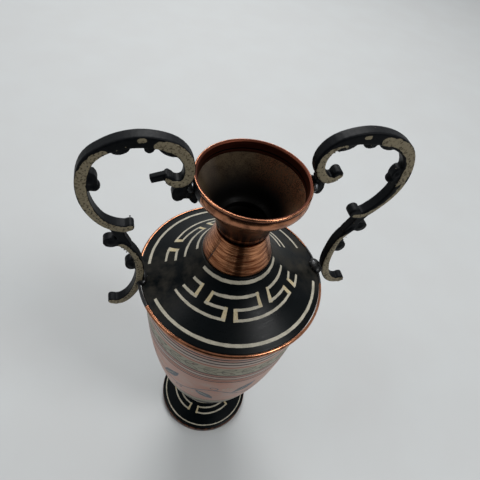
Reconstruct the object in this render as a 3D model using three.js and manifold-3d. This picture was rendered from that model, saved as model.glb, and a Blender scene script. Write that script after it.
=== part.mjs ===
// Copper vase in the Greek manner: spun sheet shells stacked on one axis, and two cast scroll handles.
// Millimetres, +Z up, origin at the middle of the foot's resting ring, handles along X.
import * as THREE from 'three';
import { mergeVertices } from 'three/addons/utils/BufferGeometryUtils.js';
import Module from 'manifold-3d';

const wasm = await Module();
wasm.setup();

// Sheet and fits
const sheet = 0.8;
const fitGap = 0.3;
const solderFilm = 1.1;

// Foot: a trumpet with a short upright skirt and a hem turned in below
const footR = 30.65;
const skirtHeight = 4.6;
const skirtRound = 0.8;
const hemWidth = 2.6;
const stemR = 11.2;
const footHeight = 21.2;
const footFlare = { lowRun: 8.6, lowRise: 4.4, highRun: 2.3, highDrop: 6.2 };

// Seam between belly and shoulder, covered by a half-round ring
const seamR = 45.05;
const beadDepth = 1.25;
const beadHeight = 2.4;

// Belly: half an ellipse turned about the axis, set in from the seam, with a flange at its mouth
const bellyInset = 3.65;
const bellyR = seamR - bellyInset;
const bellyDepth = 125.5;
const bellyRise = 7;
const flangeRise = 3.7;
const flangeRound = 0.9;

// Shoulder: a shallow tent that steepens to a ledge for the collar
const shoulderHeight = 17.1;
const shoulderFlare = { lowRun: 9.5, lowRise: 3.65, highRun: 6.4, highDrop: 8.2 };
const ledgeWidth = 0.7;
const upstand = 1.8;

// Collar and neck
const collarR = 15.7;
const collarTopR = 11.3;
const collarHeight = 14.95;
const collarRound = 2.2;
const collarLean = 0.35;
const neckR = 10.3;
const neckRise = 4.4;
const neckTopR = 12;
const neckFlare = 4.1;
const neckSpigot = 4.5;

// Mouth: a flaring bowl under an upright banded rim
const mouthSpigot = 1;
const bowlR = 21.9;
const bowlHeight = 18.9;
const bowlFlare = { lowRun: 0.9, lowRise: 6.4, highRun: 3.6, highDrop: 8.4 };
const rimR = 23.2;
const rimHeight = 6.5;
const rimLap = 1;
const rimWall = 1.5;
const rimRoll = 0.55;
const bandSwell = { out: 0.25, round: 1.3 };
const grooveDepth = 0.45;

// Castings
const bandThick = 5.2;
const leafThick = 3.9;
const sprueThick = 2.6;
const castBevel = 0.45;
const linkWidths = [2.6, 1.7, 2.2];
const lobeStem = [1.4, 2.2];
const lobeSize = [3.1, 2.8];
const lobeTilt = 0.4;
const sprueWidths = [1.5, 1.35];

// Where the S scroll is joined to the big scroll, as shares of their lengths
const joinShare = 0.965;
const linkFromShare = 0.94;
const linkToShare = 0.06;

// Solder
const footFillet = { rise: 2.7, start: 0.5, wide: 0.9 };
const neckFilletHeight = 1.6;
const rimBlob = { out: 0.9, drop: 3.45, size: [2, 4.1, 3.1] };
const seamBlob = { out: -1.9, up: 0.9, size: [3.2, 4.6, 2.2] };

// Facets
const bigTurn = 40;
const smallTurn = 32;

const P = (x, y) => new THREE.Vector2(x, y);

const bezier = (a, b, c, d, steps) => new THREE.CubicBezierCurve(a, b, c, d).getPoints(steps);

// Arc of an ellipse about a middle, between two angles in degrees
function arc(x, z, rx, rz, from, to, steps) {
  const [start, end] = [from, to].map(THREE.MathUtils.degToRad);
  return new THREE.EllipseCurve(x, z, rx, rz, start, end).getPoints(steps);
}

// Radius of the belly's outside at a height, and the height at a radius
const bellyAt = (z, middle) => bellyR * Math.sqrt(1 - ((z - middle) / bellyDepth) ** 2);
const bellyDrop = (r) => bellyDepth * Math.sqrt(1 - (r / bellyR) ** 2);

// A line moved sideways by d, to its left where d is positive
function moved(points, d) {
  return points.map((p, i) => {
    const before = points[Math.max(i - 1, 0)];
    const after = points[Math.min(i + 1, points.length - 1)];
    const along = after.clone().sub(before).normalize();
    return P(p.x - along.y * d, p.y + along.x * d);
  });
}

// The inner line of a wall, run back from the end of the outer line, with every second point of it
function innerLine(outside, wall) {
  const line = moved(outside, wall);
  return line.filter((p, i) => i % 2 === 0 || i === line.length - 1).reverse();
}

function solidOf(geometry) {
  const bare = geometry.clone();
  bare.deleteAttribute('normal');
  bare.deleteAttribute('uv');
  const merged = mergeVertices(bare, 1e-4);
  const kept = [];
  const index = merged.index.array;
  for (let i = 0; i < index.length; i += 3) {
    const [a, b, c] = [index[i], index[i + 1], index[i + 2]];
    if (a !== b && b !== c && c !== a) kept.push(a, b, c);
  }
  const mesh = new wasm.Mesh({
    numProp: 3,
    vertProperties: new Float32Array(merged.attributes.position.array),
    triVerts: new Uint32Array(kept),
  });
  return new wasm.Manifold(mesh);
}

function geometryOf(solid) {
  const mesh = solid.getMesh();
  const geometry = new THREE.BufferGeometry();
  geometry.setAttribute('position', new THREE.BufferAttribute(mesh.vertProperties, 3));
  geometry.setIndex(new THREE.BufferAttribute(mesh.triVerts, 1));
  geometry.computeVertexNormals();
  return geometry;
}

// A closed profile (radius, height) turned about the vertical axis
function turned(profile, segments) {
  const points = [...profile];
  const onAxis = points[0].x === 0 && points.at(-1).x === 0;
  if (!onAxis) points.push(points[0].clone());
  return new THREE.LatheGeometry(points, segments).rotateX(Math.PI / 2);
}

// Heights of the stack, from the table up
const bellyMiddle = footHeight + fitGap + bellyDrop(stemR - sheet);
const bellyTop = bellyMiddle + bellyRise;
const seamZ = bellyTop + flangeRise;
const seatR = seamR - beadDepth - fitGap;
const shoulderZ = seamZ + fitGap / 2 + sheet;
const ledgeZ = shoulderZ + shoulderHeight;
const collarZ = ledgeZ + fitGap;
const collarTop = collarZ + collarHeight;
const neckTop = collarTop + neckRise;
const bowlZ = neckTop + fitGap;
const bowlTop = bowlZ + bowlHeight;
const bandLow = bowlTop - rimLap;
const rimTop = bandLow + rimHeight;

// Outsides of the spun pieces, from low to high
const footOutside = [
  P(footR, sheet / 2),
  ...arc(footR - skirtRound, skirtHeight - skirtRound, skirtRound, skirtRound, 0, 60, 2),
  ...bezier(
    P(footR - skirtRound, skirtHeight),
    P(footR - footFlare.lowRun, skirtHeight + footFlare.lowRise),
    P(stemR + footFlare.highRun, footHeight - footFlare.highDrop),
    P(stemR, footHeight),
    9
  ),
];

const bellySteps = 11;
const bellyOutside = [];
for (let i = 0; i <= bellySteps; i += 1) {
  const turn = Math.asin(bellyRise / bellyDepth);
  const angle = -Math.PI / 2 + (i / bellySteps) * (Math.PI / 2 + turn);
  bellyOutside.push(P(i ? bellyR * Math.cos(angle) : 0, bellyMiddle + bellyDepth * Math.sin(angle)));
}
const flangeLow = seamZ - fitGap / 2 - sheet;
const flangeCurve = bezier(
  bellyOutside.at(-1),
  P(bellyR, flangeLow - flangeRound),
  P(bellyR + flangeRound / 2, flangeLow),
  P(seatR - flangeRound / 2, flangeLow),
  4
).slice(1);

const shoulderOutside = bezier(
  P(seatR, shoulderZ),
  P(seatR - shoulderFlare.lowRun, shoulderZ + shoulderFlare.lowRise),
  P(collarR + ledgeWidth + shoulderFlare.highRun, ledgeZ - shoulderFlare.highDrop),
  P(collarR + ledgeWidth, ledgeZ),
  10
);

const bowlOutside = bezier(
  P(neckTopR, bowlZ),
  P(neckTopR + bowlFlare.lowRun, bowlZ + bowlFlare.lowRise),
  P(bowlR - bowlFlare.highRun, bowlTop - bowlFlare.highDrop),
  P(bowlR, bowlTop),
  9
);

// Rim band from its lower lip up to the rolled edge: convex, then a groove, then the roll
const grooveZ = rimTop - 3 * rimRoll;
const rimOutside = [
  ...bezier(
    P(bowlR + fitGap + bandSwell.out, bandLow),
    P(rimR + bandSwell.out, bandLow + bandSwell.round),
    P(rimR + bandSwell.out, grooveZ - bandSwell.round),
    P(rimR - grooveDepth, grooveZ),
    6
  ),
  ...arc(rimR - rimRoll, rimTop - rimRoll, rimRoll, rimRoll, -45, 90, 3),
];

function footShell() {
  const inside = innerLine(footOutside.slice(1), sheet);
  return [
    P(footR - hemWidth, 0),
    P(footR - sheet / 2, 0),
    ...footOutside,
    ...inside,
    P(footR - sheet, sheet),
    P(footR - hemWidth, sheet),
  ];
}

function bodyBowl() {
  const wall = [...bellyOutside, ...flangeCurve];
  const inside = innerLine(wall, sheet);
  inside.at(-1).x = 0;
  return [...wall, P(seatR, flangeLow), P(seatR, flangeLow + sheet), ...inside];
}

function shoulderDome() {
  const inside = innerLine(shoulderOutside, sheet);
  const lip = collarR - sheet - 2 * fitGap;
  return [
    P(seatR, shoulderZ - sheet),
    ...shoulderOutside,
    P(lip, ledgeZ),
    P(lip, ledgeZ + upstand),
    P(lip - sheet, ledgeZ + upstand),
    P(lip - sheet, ledgeZ - sheet),
    ...inside.slice(0, -1),
  ];
}

function beadRing(grow = 0) {
  return arc(seamR - beadDepth, seamZ, beadDepth + grow, beadHeight / 2 + grow, -90, 90, 6);
}

function collarCone() {
  const outside = [
    P(collarR, collarZ),
    P(collarR, collarZ + collarRound / 2),
    P(collarR - collarLean, collarZ + collarRound),
    P(collarTopR, collarTop),
  ];
  return [...outside, ...moved(outside, sheet).reverse()];
}

function neckSleeve() {
  const outside = [
    P(neckR, collarTop - neckSpigot),
    P(neckR, neckTop - neckFlare),
    P(neckTopR, neckTop - mouthSpigot - fitGap),
    P(neckTopR, neckTop),
  ];
  return [...outside, ...moved(outside, sheet).reverse()];
}

// The bowl's upper edge is trimmed level under the rim band
function mouthCup() {
  const bore = neckTopR - sheet - 2 * fitGap;
  const flare = bowlOutside.slice(1);
  const inside = innerLine(flare, sheet);
  inside[0].y = bowlTop;
  return [
    P(bore - sheet, neckTop - mouthSpigot),
    P(bore, neckTop - mouthSpigot),
    P(bore, bowlZ),
    P(neckTopR, bowlZ),
    ...flare,
    ...inside,
    P(bore - sheet, bowlZ + sheet),
  ];
}

function rimRing() {
  return [
    P(bowlR + fitGap, bandLow),
    ...rimOutside,
    P(rimR - rimWall, rimTop - rimRoll),
    P(bowlR - sheet, bowlTop + fitGap),
    P(bowlR + fitGap, bowlTop + fitGap),
  ];
}

// Solder in the notch between the foot's stem and the belly
function footSolder() {
  const low = footHeight + fitGap;
  const { rise, start, wide } = footFillet;
  const steps = 3;
  const face = [];
  for (let i = 0; i <= steps; i += 1) {
    const z = low + start + (i / steps) * (rise - start);
    face.push(P(bellyAt(z, bellyMiddle) + start, z));
  }
  const top = P(face.at(-1).x + start, low + rise);
  return [P(stemR, low), P(stemR + wide, low), top, ...face.reverse()];
}

// Solder between the collar's wall and the neck's spigot, out of sight
function neckSolder() {
  const low = collarTop - neckSpigot;
  const high = low + neckFilletHeight;
  const slope = (collarR - collarLean - collarTopR) / (collarHeight - collarRound);
  const wallAt = (z) => collarTopR + (collarTop - z) * slope - sheet - 2 * fitGap;
  return [
    P(neckR + fitGap, low),
    P(wallAt(low), low),
    P(wallAt(high), high),
    P(neckR + fitGap, high),
  ];
}

// Outside of the mouth, and of the belly, seam and shoulder, as solids grown by a film
function mouthBody(film) {
  const line = [P(neckTopR, neckTop - neckRise), ...bowlOutside, ...rimOutside];
  const skin = moved(line, -film);
  return solidOf(turned([P(0, skin[0].y), ...skin, P(0, rimTop + film)], smallTurn));
}

function seamBody(film) {
  const low = bellyTop - 4 * flangeRise;
  const wall = moved([P(bellyAt(low, bellyMiddle), low), bellyOutside.at(-1), ...flangeCurve], -film);
  const tent = moved(shoulderOutside, -film);
  const core = [P(0, low), ...wall, P(seatR, seamZ), ...tent, P(0, tent.at(-1).y)];
  const ring = [P(seatR - 2 * beadDepth, seamZ), ...beadRing(film)];
  return solidOf(turned(core, bigTurn)).add(solidOf(turned(ring, bigTurn)));
}

// Line of tangent arcs: each arc has a radius and a sweep in degrees, clockwise
function scrollPath(start, heading, radii, sweeps) {
  const path = new THREE.CurvePath();
  let at = start.clone();
  let facing = THREE.MathUtils.degToRad(heading);
  for (const [i, radius] of radii.entries()) {
    const sweep = sweeps[i];
    const centre = P(at.x + radius * Math.sin(facing), at.y - radius * Math.cos(facing));
    const from = facing + Math.PI / 2;
    const to = from - THREE.MathUtils.degToRad(sweep);
    path.add(new THREE.EllipseCurve(centre.x, centre.y, radius, radius, from, to, true));
    at = P(centre.x + radius * Math.cos(to), centre.y + radius * Math.sin(to));
    facing -= THREE.MathUtils.degToRad(sweep);
  }
  return path;
}

function blend(values, t) {
  const place = t * (values.length - 1);
  const i = Math.min(Math.floor(place), values.length - 2);
  return THREE.MathUtils.lerp(values[i], values[i + 1], place - i);
}

const sideways = (curve, t) => {
  const along = curve.getTangentAt(t);
  return P(-along.y, along.x);
};

// An outline in the casting's plane, thickened evenly to both faces, with its edges softened by a bevel
function cast(outline, thick, bevel, grow = 0) {
  const geometry = new THREE.ExtrudeGeometry(new THREE.Shape(outline), {
    depth: thick + 2 * grow - 2 * bevel,
    bevelThickness: bevel,
    bevelSize: bevel,
    bevelOffset: grow - bevel,
    bevelSegments: 1,
  });
  geometry.rotateX(Math.PI / 2);
  geometry.translate(0, thick / 2 + grow - bevel, 0);
  return solidOf(geometry);
}

// A band that follows a curve, its half width blended along it, with round ends
function bandOutline(curve, halfWidths, steps) {
  const left = [];
  const right = [];
  for (let i = 0; i <= steps; i += 1) {
    const t = i / steps;
    const at = curve.getPointAt(t);
    const out = sideways(curve, t).multiplyScalar(blend(halfWidths, t));
    left.push(at.clone().add(out));
    right.push(at.clone().sub(out));
  }
  return [...right, ...left.reverse()];
}

function ovalOutline(centre, along, across, turn, steps = 14) {
  return new THREE.EllipseCurve(centre.x, centre.y, along, across, 0, 2 * Math.PI, false, turn)
    .getPoints(steps)
    .slice(0, -1);
}

// Leaves on a curve at shares of its length: distance to the curve's right, half length, half width
function leafOutlines(curve, shares, leaves) {
  return leaves.map(([inward, along, across], i) => {
    const tangent = curve.getTangentAt(shares[i]);
    const centre = curve.getPointAt(shares[i]).sub(sideways(curve, shares[i]).multiplyScalar(inward));
    return ovalOutline(centre, along, across, Math.atan2(tangent.y, tangent.x));
  });
}

// One casting: the big C scroll, the bracket under the rim, and the S scroll down to the seam
function handleSolid(spec, grow = 0) {
  const rim = P(rimR + spec.out, rimTop + spec.up);
  const seam = P(seamR + spec.out, seamZ);
  const big = scrollPath(rim.clone().add(P(...spec.curlFrom)), spec.heading, spec.radii, spec.sweeps);
  const foot = big.getPointAt(joinShare).add(P(...spec.join));
  const waist = seam.clone().add(P(...spec.waist));
  const hook = seam.clone().add(P(...spec.hook));
  const small = new THREE.CurvePath();
  const [topTurn, waistPull, hookPull] = spec.pulls;
  small.add(new THREE.CubicBezierCurve(
    foot,
    foot.clone().sub(P(...topTurn)),
    waist.clone().add(P(0, waistPull[0])),
    waist
  ));
  small.add(new THREE.CubicBezierCurve(
    waist,
    waist.clone().sub(P(0, waistPull[1])),
    hook.clone().sub(P(...hookPull)),
    hook
  ));

  const bands = [
    bandOutline(big, spec.bigWidths, 48),
    bandOutline(small, spec.smallWidths, 22),
    ovalOutline(big.getPointAt(1), spec.bulbs[0], spec.bulbs[0], 0),
    ovalOutline(big.getPointAt(0), spec.bulbs[1], spec.bulbs[1], 0),
    ovalOutline(hook, spec.bulbs[2], spec.bulbs[2], 0),
    ovalOutline(foot, spec.smallWidths[0], spec.smallWidths[0], 0),
  ];
  const neck = new THREE.LineCurve(big.getPointAt(linkFromShare), small.getPointAt(linkToShare));
  const lobe = foot.clone().add(P(...spec.topLobe));
  const leaves = [
    bandOutline(neck, linkWidths, 4),
    bandOutline(new THREE.LineCurve(foot, lobe), lobeStem, 2),
    ovalOutline(lobe, ...lobeSize, lobeTilt),
    ...leafOutlines(big, spec.bigLeafShares, spec.bigLeaves),
    ...leafOutlines(small, spec.smallLeafShares, spec.smallLeaves),
    ...spec.bracket.map(([x, z, along, across], i) =>
      ovalOutline(rim.clone().add(P(x, z)), along, across, spec.bracketTilts[i])),
  ];
  const pieces = [
    ...bands.map((outline) => cast(outline, bandThick, castBevel, grow)),
    ...leaves.map((outline) => cast(outline, leafThick, 0, grow)),
  ];
  if (spec.sprue) {
    const tip = big.getPointAt(0).add(P(...spec.sprue));
    const stub = bandOutline(new THREE.LineCurve(big.getPointAt(0), tip), sprueWidths, 2);
    pieces.push(cast(stub, sprueThick, 0, grow));
  }
  const whole = pieces.reduce((sum, piece) => sum.add(piece));
  return whole.translate([0, -spec.forward, 0]);
}

const leftSpec = {
  side: -1,
  out: -0.1,
  up: 1.15,
  forward: 0,
  curlFrom: [9.5, 0.2],
  heading: 257,
  radii: [3.7, 11.8, 24.4, 13, 27.9, 13.4, 2.6],
  sweeps: [151.5, 84.5, 58, 31.5, 52, 51, 55],
  bigWidths: [1.6, 2, 2.3, 2.3, 1.8, 2.1, 2, 1.55, 1.8],
  join: [0.95, -9.4],
  waist: [-1.35, 10.2],
  hook: [12.35, -13.1],
  pulls: [[5.7, 4.5], [5.3, 14.5], [5.7, 4.8]],
  smallWidths: [1.3, 1.5, 1.9, 1.8, 1.7, 1.8],
  bulbs: [1.6, 1.2, 1.65],
  topLobe: [3.85, 0.95],
  bigLeafShares: [0.262, 0.338, 0.442, 0.659],
  bigLeaves: [[2.2, 3.95, 1.8], [2.7, 1.8, 1.9], [1.85, 3.4, 2.3], [2.95, 4.2, 2.6]],
  smallLeafShares: [0.311],
  smallLeaves: [[-3.4, 3.4, 2.5]],
  bracket: [[4.9, -7.35, 2.9, 4.4], [0, -9.05, 1.85, 4.3], [2.05, -7.2, 3.4, 3.2]],
  bracketTilts: [0.34, -0.31, 0.2],
  sprue: [6.1, -1.7],
};

const rightSpec = {
  side: 1,
  out: 1,
  up: 2.35,
  forward: 1.4,
  curlFrom: [8.2, 0.1],
  heading: 264,
  radii: [2.8, 9.8, 29.5, 12.85, 23.9, 31.4, 3.4],
  sweeps: [114, 130, 52, 28, 55.5, 21, 101],
  bigWidths: [1.7, 2, 1.95, 2.7, 2.7, 2.35, 2.25, 1.8, 2],
  join: [-0.25, -9.2],
  waist: [0.5, 11.9],
  hook: [13.85, -9.1],
  pulls: [[5.5, 6.4], [8.6, 11.4], [7.1, 2.7]],
  smallWidths: [1.3, 1.35, 1.75, 1.95, 2, 1.7],
  bulbs: [2.7, 2.2, 2.4],
  topLobe: [4, 1],
  bigLeafShares: [0.278, 0.384, 0.463, 0.693],
  bigLeaves: [[2.4, 4.35, 1.9], [3.4, 2.7, 1.4], [2.25, 3.9, 2], [3.5, 3.8, 2.55]],
  smallLeafShares: [0.284],
  smallLeaves: [[-3.5, 3.4, 2.8]],
  bracket: [[1.8, -5.4, 2.6, 4.65], [1, -6.6, 1.5, 3.2]],
  bracketTilts: [0.22, -0.2],
};

// The main body of a cut piece, without the slivers that a cut may leave
function mainBody(solid) {
  return solid.decompose().sort((a, b) => b.volume() - a.volume())[0];
}

// Each casting seated against the mouth and the seam, with room for the solder film at the mouth
function seated(spec) {
  return mainBody(handleSolid(spec).subtract(mouthBody(solderFilm)).subtract(seamBody(fitGap)));
}

const facing = (solid, spec) => (spec.side > 0 ? solid : solid.mirror([1, 0, 0]));

function blob(x, y, z, size) {
  const geometry = new THREE.SphereGeometry(1, 14, 8).scale(...size);
  geometry.translate(x, y, z);
  return solidOf(geometry);
}

// Solder between a casting and the rim, and on the seam at the casting's back
function rimSolder(spec) {
  const drop = blob(rimR + rimBlob.out, -spec.forward, rimTop - rimBlob.drop, rimBlob.size);
  return mainBody(drop.subtract(mouthBody(fitGap)).subtract(handleSolid(spec, fitGap)));
}

function shoulderSolder(spec) {
  const drop = blob(seamR + seamBlob.out, -spec.forward, shoulderZ + seamBlob.up, seamBlob.size);
  return mainBody(drop.subtract(seamBody(fitGap)).subtract(handleSolid(spec, fitGap)));
}

const finish = (color, roughness, metalness) => ({ color, roughness, metalness });
const copperBright = finish(0xb8694a, 0.3, 1);
const copperDark = finish(0x6b3a28, 0.35, 1);
const lacquer = finish(0x17191c, 0.45, 0.1);
const painted = finish(0xa9735c, 0.5, 0.3);
const castBlack = finish(0x16161a, 0.5, 0.2);
const tin = finish(0x8f9094, 0.45, 1);

const model = new THREE.Group();

function place(name, geometry, look) {
  const mesh = new THREE.Mesh(geometry, new THREE.MeshStandardMaterial(look));
  mesh.name = name;
  model.add(mesh);
}

place('foot_shell', turned(footShell(), bigTurn), lacquer);
place('foot_solder', turned(footSolder(), smallTurn), tin);
place('body_bowl', turned(bodyBowl(), bigTurn), painted);
place('shoulder_dome', turned(shoulderDome(), bigTurn), lacquer);
place('seam_bead', turned(beadRing(), bigTurn), copperBright);
place('collar_cone', turned(collarCone(), smallTurn), copperBright);
place('neck_solder', turned(neckSolder(), smallTurn), tin);
place('neck_sleeve', turned(neckSleeve(), smallTurn), copperDark);
place('mouth_cup', turned(mouthCup(), smallTurn), copperDark);
place('rim_ring', turned(rimRing(), smallTurn), copperBright);

for (const [name, spec] of [['left', leftSpec], ['right', rightSpec]]) {
  place(`handle_${name}`, geometryOf(facing(seated(spec), spec)), castBlack);
  place(`rim_solder_${name}`, geometryOf(facing(rimSolder(spec), spec)), tin);
  place(`shoulder_solder_${name}`, geometryOf(facing(shoulderSolder(spec), spec)), tin);
}

export default model;
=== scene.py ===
"""A copper vase in the Greek manner: spun shells, drawn key patterns, painted belly and cast scroll handles."""
import math

import bmesh
import bpy
import numpy as np
from mathutils import Matrix, Vector, noise


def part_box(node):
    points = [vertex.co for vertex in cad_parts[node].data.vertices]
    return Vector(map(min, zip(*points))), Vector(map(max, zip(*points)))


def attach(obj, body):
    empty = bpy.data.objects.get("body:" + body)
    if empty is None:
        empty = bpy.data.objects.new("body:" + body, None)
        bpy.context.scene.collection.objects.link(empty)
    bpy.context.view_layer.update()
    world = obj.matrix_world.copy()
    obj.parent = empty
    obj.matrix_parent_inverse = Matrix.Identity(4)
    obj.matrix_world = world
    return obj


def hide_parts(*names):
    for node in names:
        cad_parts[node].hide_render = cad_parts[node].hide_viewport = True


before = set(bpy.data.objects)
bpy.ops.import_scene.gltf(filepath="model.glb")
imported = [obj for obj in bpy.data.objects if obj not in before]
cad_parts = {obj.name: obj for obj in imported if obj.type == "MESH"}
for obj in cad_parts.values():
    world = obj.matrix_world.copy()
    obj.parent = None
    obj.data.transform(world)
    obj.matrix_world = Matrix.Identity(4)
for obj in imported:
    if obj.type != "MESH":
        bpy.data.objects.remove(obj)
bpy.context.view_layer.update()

bl_info = {
    "name": "Copper vase with scroll handles",
    "version": (1, 0, 0),
    "blender": (4, 5, 0),
    "location": "3D View > Sidebar > Vase",
    "description": "Dresses the packed frame of a spun copper vase",
    "category": "Object",
}

MM = 0.001
PER_MM = 1000.0
SHARP_TURN = math.radians(40)


def linear(hex_colour):
    """An sRGB hex colour as linear red, green and blue."""
    parts = [int(hex_colour[i:i + 2], 16) / 255 for i in (1, 3, 5)]
    return tuple(c / 12.92 if c <= 0.04045 else ((c + 0.055) / 1.055) ** 2.4 for c in parts)


def opaque(colour):
    """A colour with full alpha, as a shader socket takes it."""
    return (*colour, 1.0)


# Sizes and colours a user may change

class VaseSizes(bpy.types.PropertyGroup):
    """Sizes of the dressing"""
    turns: bpy.props.IntProperty(
        name="Turn segments", description="Segments round a spun piece", default=192, min=48)
    fillet: bpy.props.FloatProperty(
        name="Edge rounding", description="How far a spun edge is rounded", default=0.12 * MM,
        unit="LENGTH", precision=5)
    groove_pitch: bpy.props.FloatProperty(
        name="Groove pitch", description="Spacing of the tool grooves on the collar", default=0.72 * MM,
        unit="LENGTH", precision=5)
    groove_depth: bpy.props.FloatProperty(
        name="Groove depth", description="Depth of the tool grooves on the collar", default=0.045 * MM,
        unit="LENGTH", precision=5)
    enamel: bpy.props.FloatProperty(
        name="Enamel height", description="How far a drawn line stands proud", default=0.05 * MM,
        unit="LENGTH", precision=5)
    voxel: bpy.props.FloatProperty(
        name="Casting grain", description="Mesh size of the castings", default=0.27 * MM,
        unit="LENGTH", precision=5)


class VaseColours(bpy.types.PropertyGroup):
    """Colours of the dressing"""
    copper: bpy.props.FloatVectorProperty(
        name="Copper", description="Bare turned copper", subtype="COLOR", default=linear("#CE9069"))
    brown: bpy.props.FloatVectorProperty(
        name="Brown copper", description="Copper gone brown", subtype="COLOR", default=linear("#663A25"))
    dust: bpy.props.FloatVectorProperty(
        name="Dust", description="Dusty inside of the mouth", subtype="COLOR", default=linear("#4E4232"))
    lacquer: bpy.props.FloatVectorProperty(
        name="Black lacquer", description="Blue-black lacquer", subtype="COLOR", default=linear("#04080A"))
    cream: bpy.props.FloatVectorProperty(
        name="Cream", description="Drawn lines", subtype="COLOR", default=linear("#B3AD9C"))
    warm: bpy.props.FloatVectorProperty(
        name="Warm cream", description="Broad strokes of the key pattern", subtype="COLOR",
        default=linear("#C0B493"))
    pink: bpy.props.FloatVectorProperty(
        name="Belly", description="Hazy lacquer on the belly", subtype="COLOR", default=linear("#BC8874"))
    slate: bpy.props.FloatVectorProperty(
        name="Slate", description="Slate-blue enamel", subtype="COLOR", default=linear("#66707A"))
    tan: bpy.props.FloatVectorProperty(
        name="Filed metal", description="Castings filed bare", subtype="COLOR", default=linear("#90866F"))
    floor: bpy.props.FloatVectorProperty(
        name="Floor", description="Pale floor", subtype="COLOR", default=linear("#BCBEBE"))


# Materials

def add(tree, kind, sockets=None, **settings):
    """Add a node with its settings, and fill its sockets with values or with links."""
    made = tree.nodes.new(kind)
    for key, value in settings.items():
        setattr(made, key, value)
    for key, value in (sockets or {}).items():
        if isinstance(value, bpy.types.NodeSocket):
            tree.links.new(value, made.inputs[key])
        else:
            made.inputs[key].default_value = value
    return made


def new_finish(name, **surface):
    """A material, its node tree and its surface shader, with the shader's plain values set."""
    material = bpy.data.materials.new(name)
    material.use_nodes = True
    tree = material.node_tree
    shader = tree.nodes["Principled BSDF"]
    for key, value in surface.items():
        shader.inputs[key.replace("_", " ")].default_value = value
    return material, tree, shader


def feed(tree, shader, **sources):
    """Link outputs to the surface shader's sockets."""
    for key, source in sources.items():
        tree.links.new(source, shader.inputs[key.replace("_", " ")])


def round_axis(tree, around, fine, detail):
    """Noise drawn out round the axis, and the parts of the coordinates, the radius and the place it comes from."""
    place = add(tree, "ShaderNodeTexCoord").outputs["Object"]
    apart = add(tree, "ShaderNodeSeparateXYZ", {0: place})
    flat = add(tree, "ShaderNodeCombineXYZ", {"X": apart.outputs["X"], "Y": apart.outputs["Y"]})
    radius = add(tree, "ShaderNodeVectorMath", {0: flat.outputs[0]}, operation="LENGTH").outputs["Value"]
    unit = add(tree, "ShaderNodeVectorMath", {0: flat.outputs[0]}, operation="NORMALIZE")
    turn = add(tree, "ShaderNodeVectorMath", {0: unit.outputs[0], "Scale": around}, operation="SCALE")
    height = add(tree, "ShaderNodeMath", {0: apart.outputs["Z"], 1: PER_MM / fine}, operation="MULTIPLY")
    lift = add(tree, "ShaderNodeCombineXYZ", {"Z": height.outputs[0]})
    vector = add(tree, "ShaderNodeVectorMath", {0: turn.outputs[0], 1: lift.outputs[0]}, operation="ADD")
    away = add(tree, "ShaderNodeMath", {0: radius, 1: PER_MM / fine}, operation="MULTIPLY")
    drawn = add(tree, "ShaderNodeTexNoise", {"Vector": vector.outputs[0], "W": away.outputs[0], "Scale": 1.0,
                "Detail": detail}, noise_dimensions="4D")
    return drawn.outputs["Fac"], apart, radius, place


def sectors(tree, place, spans, soft):
    """1 within the spans round the axis, each a middle and a half width in degrees, falling to 0 beside them."""
    flat = add(tree, "ShaderNodeVectorMath", {0: place, 1: (1.0, 1.0, 0.0)}, operation="MULTIPLY")
    unit = add(tree, "ShaderNodeVectorMath", {0: flat.outputs[0]}, operation="NORMALIZE")
    whole = 0.0
    for middle, half in spans:
        aim = (math.cos(math.radians(middle)), math.sin(math.radians(middle)), 0.0)
        near = add(tree, "ShaderNodeVectorMath", {0: unit.outputs[0], 1: aim}, operation="DOT_PRODUCT")
        mask = add(tree, "ShaderNodeMapRange", {"Value": near.outputs["Value"],
                   "From Min": math.cos(math.radians(half + soft)),
                   "From Max": math.cos(math.radians(half - soft))}, interpolation_type="SMOOTHSTEP")
        whole = add(tree, "ShaderNodeMath", {0: whole, 1: mask.outputs[0]}, operation="MAXIMUM").outputs[0]
    return whole


def copper_turned(colours):
    """Bare copper turned on a lathe: bright and dark rings of the tool, brown tarnish in soft clouds, and a dark
    reflection painted down one side.
    """
    material, tree, shader = new_finish("copper_turned", Metallic=1.0)
    ring, _, _, place = round_axis(tree, 1.6, 0.42, 2.0)
    cloud = add(tree, "ShaderNodeTexNoise", {"Vector": place, "Scale": PER_MM / 9, "Detail": 3.0})
    line = add(tree, "ShaderNodeMapRange", {"Value": ring, "From Min": 0.38, "From Max": 0.62})
    dull = add(tree, "ShaderNodeMix", {0: line.outputs[0], 6: opaque(linear("#DC9A6F")),
               7: opaque(linear("#6E3A22"))}, data_type="RGBA")
    brown = add(tree, "ShaderNodeMapRange", {"Value": cloud.outputs["Fac"], "From Min": 0.5, "From Max": 0.72,
                "To Max": 0.5})
    tone = add(tree, "ShaderNodeMix", {0: brown.outputs[0], 6: dull.outputs[2], 7: opaque(colours.brown)},
               data_type="RGBA")
    # Painted reflection: a dark stripe down one side of the collar, standing in for the dark room the copper mirrors
    painted_reflection = add(tree, "ShaderNodeMath", {0: sectors(tree, place, COLLAR_PAINTED_REFLECTION, 4.0), 1: 0.8},
                operation="MULTIPLY")
    tone = add(tree, "ShaderNodeMix", {0: painted_reflection.outputs[0], 6: tone.outputs[2], 7: opaque(linear("#2C1209"))},
               data_type="RGBA")
    rough = add(tree, "ShaderNodeMapRange", {"Value": ring, "To Min": 0.16, "To Max": 0.4})
    bump = add(tree, "ShaderNodeBump", {"Height": ring, "Strength": 0.5, "Distance": 0.03 * MM})
    feed(tree, shader, Base_Color=tone.outputs[2], Roughness=rough.outputs[0], Normal=bump.outputs[0])
    return material


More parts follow.
